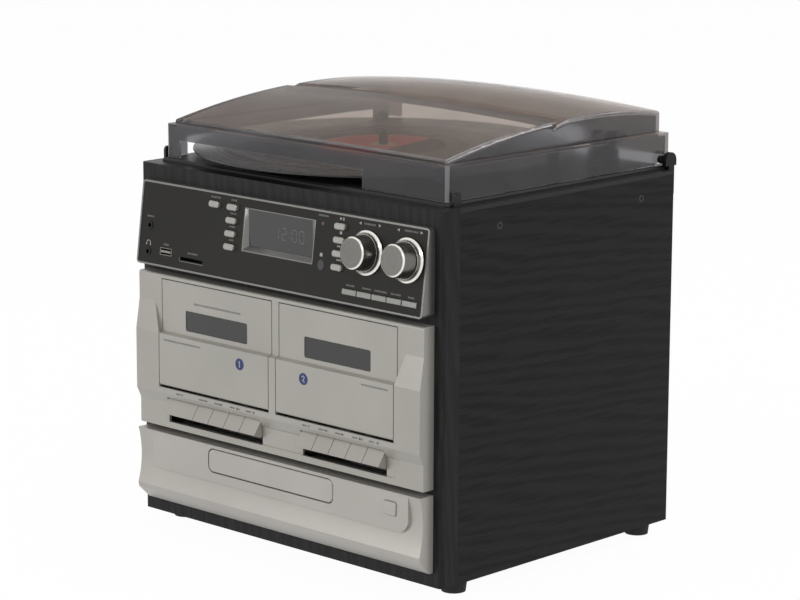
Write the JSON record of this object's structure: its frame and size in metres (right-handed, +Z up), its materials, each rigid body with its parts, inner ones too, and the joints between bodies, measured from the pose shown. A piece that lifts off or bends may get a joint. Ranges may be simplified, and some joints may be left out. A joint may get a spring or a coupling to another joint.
{
  "type": "stereo music centre",
  "caption": "Table-top music centre in a black cabinet: turntable under a smoked cover, knob and display panel, cassette decks with piano keys and a CD drawer.",
  "frame": {"origin": "floor level under the middle of the outline seen from above, record and knobs included", "axes": "+Z up, +X to the right seen from the front, front facing -Y"},
  "size_m": [0.3488, 0.3207, 0.348],
  "materials": {
    "frame_plastic": "satin black moulded plastic",
    "black_board": "black ash foil on board",
    "back_plastic": "fine-grained black moulded plastic",
    "foot_plastic": "matt black rubber",
    "steel": "zinc-plated",
    "deck_plastic": "satin black moulded plastic",
    "rubber": "matt belt rubber",
    "silver_plastic": "silver metallic paint on moulded plastic",
    "panel_plastic": "satin charcoal moulded plastic",
    "display_glass": "tinted display window",
    "inner_plastic": "plain black moulded plastic",
    "socket_metal": "nickel-plated",
    "board_laminate": "green circuit board laminate",
    "smoked_acrylic": "clear smoked moulding",
    "platter_plastic": "black plastic with a ribbed rubber mat",
    "vinyl": "grooved black vinyl with a paper label",
    "brass": "turned",
    "arm_aluminium": "satin anodised",
    "button_plastic": "light silver paint on moulded plastic"
  },
  "bodies": {
    "cabinet": {"front_frame": "frame_plastic", "side_panels": "black_board", "base_board": "black_board", "back_panel": "back_plastic", "feet": "foot_plastic", "screws": "steel", "turntable_deck": "deck_plastic", "turntable_motor": "steel", "drive_belt": "rubber", "panel_surround": "silver_plastic", "control_panel": "panel_plastic", "display_bezel": "silver_plastic", "display_lens": "display_glass", "tape_fascia": "silver_plastic", "cd_fascia": "silver_plastic", "tape_mechanism": "steel", "cd_mechanism": "inner_plastic", "front_sockets": "socket_metal", "rear_sockets": "inner_plastic", "electronics": "board_laminate", "hinge_brackets": "inner_plastic"},
    "lid": {"dust_cover": "smoked_acrylic", "hinge_arms": "inner_plastic"},
    "turntable": {"platter": "platter_plastic", "record": "vinyl"},
    "pulley": {"motor_pulley": "brass"},
    "arm_pivot": {"tonearm_pivot": "inner_plastic"},
    "arm": {"tonearm": "arm_aluminium"},
    "cue": {"cue_lever": "inner_plastic"},
    "speed": {"speed_switch": "inner_plastic"},
    "tuning": {"tuning_knob": "silver_plastic"},
    "volume": {"volume_knob": "silver_plastic"},
    "drawer": {"cd_drawer": "silver_plastic"},
    "eject": {"eject_button": "button_plastic"},
    "door_1": {"cassette_door_1": "silver_plastic"},
    "door_2": {"cassette_door_2": "silver_plastic"},
    "standby_button_body": {"standby_button": "button_plastic"},
    "mode_button_1_body": {"mode_button_1": "button_plastic"},
    "mode_button_2_body": {"mode_button_2": "button_plastic"},
    "mode_button_3_body": {"mode_button_3": "button_plastic"},
    "mode_button_4_body": {"mode_button_4": "button_plastic"},
    "play_button_body": {"play_button": "button_plastic"},
    "stop_button_body": {"stop_button": "button_plastic"},
    "skip_back_button_body": {"skip_back_button": "button_plastic"},
    "skip_forward_button_body": {"skip_forward_button": "button_plastic"},
    "preset_button_1_body": {"preset_button_1": "button_plastic"},
    "preset_button_2_body": {"preset_button_2": "button_plastic"},
    "preset_button_3_body": {"preset_button_3": "button_plastic"},
    "preset_button_4_body": {"preset_button_4": "button_plastic"},
    "preset_button_5_body": {"preset_button_5": "button_plastic"},
    "deck_1_play_key_body": {"deck_1_play_key": "button_plastic"},
    "deck_1_rewind_key_body": {"deck_1_rewind_key": "button_plastic"},
    "deck_1_forward_key_body": {"deck_1_forward_key": "button_plastic"},
    "deck_1_stop_key_body": {"deck_1_stop_key": "button_plastic"},
    "deck_1_pause_key_body": {"deck_1_pause_key": "button_plastic"},
    "deck_2_play_key_body": {"deck_2_play_key": "button_plastic"},
    "deck_2_rewind_key_body": {"deck_2_rewind_key": "button_plastic"},
    "deck_2_forward_key_body": {"deck_2_forward_key": "button_plastic"},
    "deck_2_stop_key_body": {"deck_2_stop_key": "button_plastic"},
    "deck_2_pause_key_body": {"deck_2_pause_key": "button_plastic"}
  },
  "joints": [
    {"name": "lid_hinge", "type": "hinge", "parent": "cabinet", "child": "lid", "pos_m": [0.0119, 0.13235, 0.2983], "axis": [-1, 0, 0], "range_deg": [0, 58]},
    {"name": "platter_spin", "type": "hinge", "parent": "cabinet", "child": "turntable", "pos_m": [-0.0236, 0.00985, 0.2905], "axis": [0, 0, -1], "continuous": true},
    {"name": "pulley_spin", "type": "hinge", "parent": "cabinet", "child": "pulley", "pos_m": [0.04931, -0.0412, 0.2905], "axis": [0, 0, -1], "continuous": true},
    {"name": "arm_swing", "type": "hinge", "parent": "cabinet", "child": "arm_pivot", "pos_m": [0.1329, 0.09235, 0.2945], "axis": [0, 0, -1], "range_deg": [0, 46]},
    {"name": "arm_lift", "type": "hinge", "parent": "arm_pivot", "child": "arm", "pos_m": [0.1329, 0.09235, 0.315], "axis": [-1, 0, 0], "range_deg": [0, 1.5]},
    {"name": "cue_turn", "type": "hinge", "parent": "cabinet", "child": "cue", "pos_m": [0.1504, 0.06235, 0.2975], "axis": [1, 0, 0], "range_deg": [0, 75]},
    {"name": "speed_slide", "type": "slide", "parent": "cabinet", "child": "speed", "axis": [0, 1, 0], "range_m": [-0.006, 0.006]},
    {"name": "tuning_turn", "type": "hinge", "parent": "cabinet", "child": "tuning", "pos_m": [0.106, -0.14214, 0.25376], "axis": [0, -0.9917, 0.1289], "continuous": true},
    {"name": "volume_turn", "type": "hinge", "parent": "cabinet", "child": "volume", "pos_m": [0.1471, -0.14214, 0.25376], "axis": [0, -0.9917, 0.1289], "continuous": true},
    {"name": "drawer_slide", "type": "slide", "parent": "cabinet", "child": "drawer", "axis": [0, -1, 0], "range_m": [0, 0.128]},
    {"name": "eject_press", "type": "slide", "parent": "cabinet", "child": "eject", "axis": [0, 1, 0], "range_m": [0, 0.0008], "stiffness_N_per_m": 800, "springref_m": -0.0005},
    {"name": "door_1_hinge", "type": "hinge", "parent": "cabinet", "child": "door_1", "pos_m": [-0.0539, -0.14395, 0.1233], "axis": [1, 0, 0], "range_deg": [0, 35]},
    {"name": "door_2_hinge", "type": "hinge", "parent": "cabinet", "child": "door_2", "pos_m": [0.0777, -0.14395, 0.1233], "axis": [1, 0, 0], "range_deg": [0, 35]},
    {"name": "standby_button_press", "type": "slide", "parent": "cabinet", "child": "standby_button_body", "axis": [0, 0.9917, -0.1289], "range_m": [0, 0.0008], "stiffness_N_per_m": 800, "springref_m": -0.0005},
    {"name": "mode_button_1_press", "type": "slide", "parent": "cabinet", "child": "mode_button_1_body", "axis": [0, 0.9917, -0.1289], "range_m": [0, 0.0008], "stiffness_N_per_m": 800, "springref_m": -0.0005},
    {"name": "mode_button_2_press", "type": "slide", "parent": "cabinet", "child": "mode_button_2_body", "axis": [0, 0.9917, -0.1289], "range_m": [0, 0.0008], "stiffness_N_per_m": 800, "springref_m": -0.0005},
    {"name": "mode_button_3_press", "type": "slide", "parent": "cabinet", "child": "mode_button_3_body", "axis": [0, 0.9917, -0.1289], "range_m": [0, 0.0008], "stiffness_N_per_m": 800, "springref_m": -0.0005},
    {"name": "mode_button_4_press", "type": "slide", "parent": "cabinet", "child": "mode_button_4_body", "axis": [0, 0.9917, -0.1289], "range_m": [0, 0.0008], "stiffness_N_per_m": 800, "springref_m": -0.0005},
    {"name": "play_button_press", "type": "slide", "parent": "cabinet", "child": "play_button_body", "axis": [0, 0.9917, -0.1289], "range_m": [0, 0.0008], "stiffness_N_per_m": 800, "springref_m": -0.0005},
    {"name": "stop_button_press", "type": "slide", "parent": "cabinet", "child": "stop_button_body", "axis": [0, 0.9917, -0.1289], "range_m": [0, 0.0008], "stiffness_N_per_m": 800, "springref_m": -0.0005},
    {"name": "skip_back_button_press", "type": "slide", "parent": "cabinet", "child": "skip_back_button_body", "axis": [0, 0.9917, -0.1289], "range_m": [0, 0.0008], "stiffness_N_per_m": 800, "springref_m": -0.0005},
    {"name": "skip_forward_button_press", "type": "slide", "parent": "cabinet", "child": "skip_forward_button_body", "axis": [0, 0.9917, -0.1289], "range_m": [0, 0.0008], "stiffness_N_per_m": 800, "springref_m": -0.0005},
    {"name": "preset_button_1_press", "type": "slide", "parent": "cabinet", "child": "preset_button_1_body", "axis": [0, 0.9917, -0.1289], "range_m": [0, 0.0008], "stiffness_N_per_m": 800, "springref_m": -0.0005},
    {"name": "preset_button_2_press", "type": "slide", "parent": "cabinet", "child": "preset_button_2_body", "axis": [0, 0.9917, -0.1289], "range_m": [0, 0.0008], "stiffness_N_per_m": 800, "springref_m": -0.0005},
    {"name": "preset_button_3_press", "type": "slide", "parent": "cabinet", "child": "preset_button_3_body", "axis": [0, 0.9917, -0.1289], "range_m": [0, 0.0008], "stiffness_N_per_m": 800, "springref_m": -0.0005},
    {"name": "preset_button_4_press", "type": "slide", "parent": "cabinet", "child": "preset_button_4_body", "axis": [0, 0.9917, -0.1289], "range_m": [0, 0.0008], "stiffness_N_per_m": 800, "springref_m": -0.0005},
    {"name": "preset_button_5_press", "type": "slide", "parent": "cabinet", "child": "preset_button_5_body", "axis": [0, 0.9917, -0.1289], "range_m": [0, 0.0008], "stiffness_N_per_m": 800, "springref_m": -0.0005},
    {"name": "deck_1_play_key_press", "type": "hinge", "parent": "cabinet", "child": "deck_1_play_key_body", "pos_m": [-0.0913, -0.12065, 0.102], "axis": [1, 0, 0], "range_deg": [0, 8.6], "stiffness_Nm_per_rad": 0.2, "springref_deg": -8.59},
    {"name": "deck_1_rewind_key_press", "type": "hinge", "parent": "cabinet", "child": "deck_1_rewind_key_body", "pos_m": [-0.0649, -0.12065, 0.102], "axis": [1, 0, 0], "range_deg": [0, 8.6], "stiffness_Nm_per_rad": 0.2, "springref_deg": -8.59},
    {"name": "deck_1_forward_key_press", "type": "hinge", "parent": "cabinet", "child": "deck_1_forward_key_body", "pos_m": [-0.0473, -0.12065, 0.102], "axis": [1, 0, 0], "range_deg": [0, 8.6], "stiffness_Nm_per_rad": 0.2, "springref_deg": -8.59},
    {"name": "deck_1_stop_key_press", "type": "hinge", "parent": "cabinet", "child": "deck_1_stop_key_body", "pos_m": [-0.0297, -0.12065, 0.102], "axis": [1, 0, 0], "range_deg": [0, 8.6], "stiffness_Nm_per_rad": 0.2, "springref_deg": -8.59},
    {"name": "deck_1_pause_key_press", "type": "hinge", "parent": "cabinet", "child": "deck_1_pause_key_body", "pos_m": [-0.0121, -0.12065, 0.102], "axis": [1, 0, 0], "range_deg": [0, 8.6], "stiffness_Nm_per_rad": 0.2, "springref_deg": -8.59},
    {"name": "deck_2_play_key_press", "type": "hinge", "parent": "cabinet", "child": "deck_2_play_key_body", "pos_m": [0.0494, -0.12065, 0.102], "axis": [1, 0, 0], "range_deg": [0, 8.6], "stiffness_Nm_per_rad": 0.2, "springref_deg": -8.59},
    {"name": "deck_2_rewind_key_press", "type": "hinge", "parent": "cabinet", "child": "deck_2_rewind_key_body", "pos_m": [0.067, -0.12065, 0.102], "axis": [1, 0, 0], "range_deg": [0, 8.6], "stiffness_Nm_per_rad": 0.2, "springref_deg": -8.59},
    {"name": "deck_2_forward_key_press", "type": "hinge", "parent": "cabinet", "child": "deck_2_forward_key_body", "pos_m": [0.0846, -0.12065, 0.102], "axis": [1, 0, 0], "range_deg": [0, 8.6], "stiffness_Nm_per_rad": 0.2, "springref_deg": -8.59},
    {"name": "deck_2_stop_key_press", "type": "hinge", "parent": "cabinet", "child": "deck_2_stop_key_body", "pos_m": [0.1022, -0.12065, 0.102], "axis": [1, 0, 0], "range_deg": [0, 8.6], "stiffness_Nm_per_rad": 0.2, "springref_deg": -8.59},
    {"name": "deck_2_pause_key_press", "type": "hinge", "parent": "cabinet", "child": "deck_2_pause_key_body", "pos_m": [0.1198, -0.12065, 0.102], "axis": [1, 0, 0], "range_deg": [0, 8.6], "stiffness_Nm_per_rad": 0.2, "springref_deg": -8.59}
  ],
  "couplings": [
    {"joint": "pulley_spin", "follows": "platter_spin", "ratio": 16},
    {"joint": "arm_lift", "follows": "cue_turn", "ratio": 0.02}
  ]
}
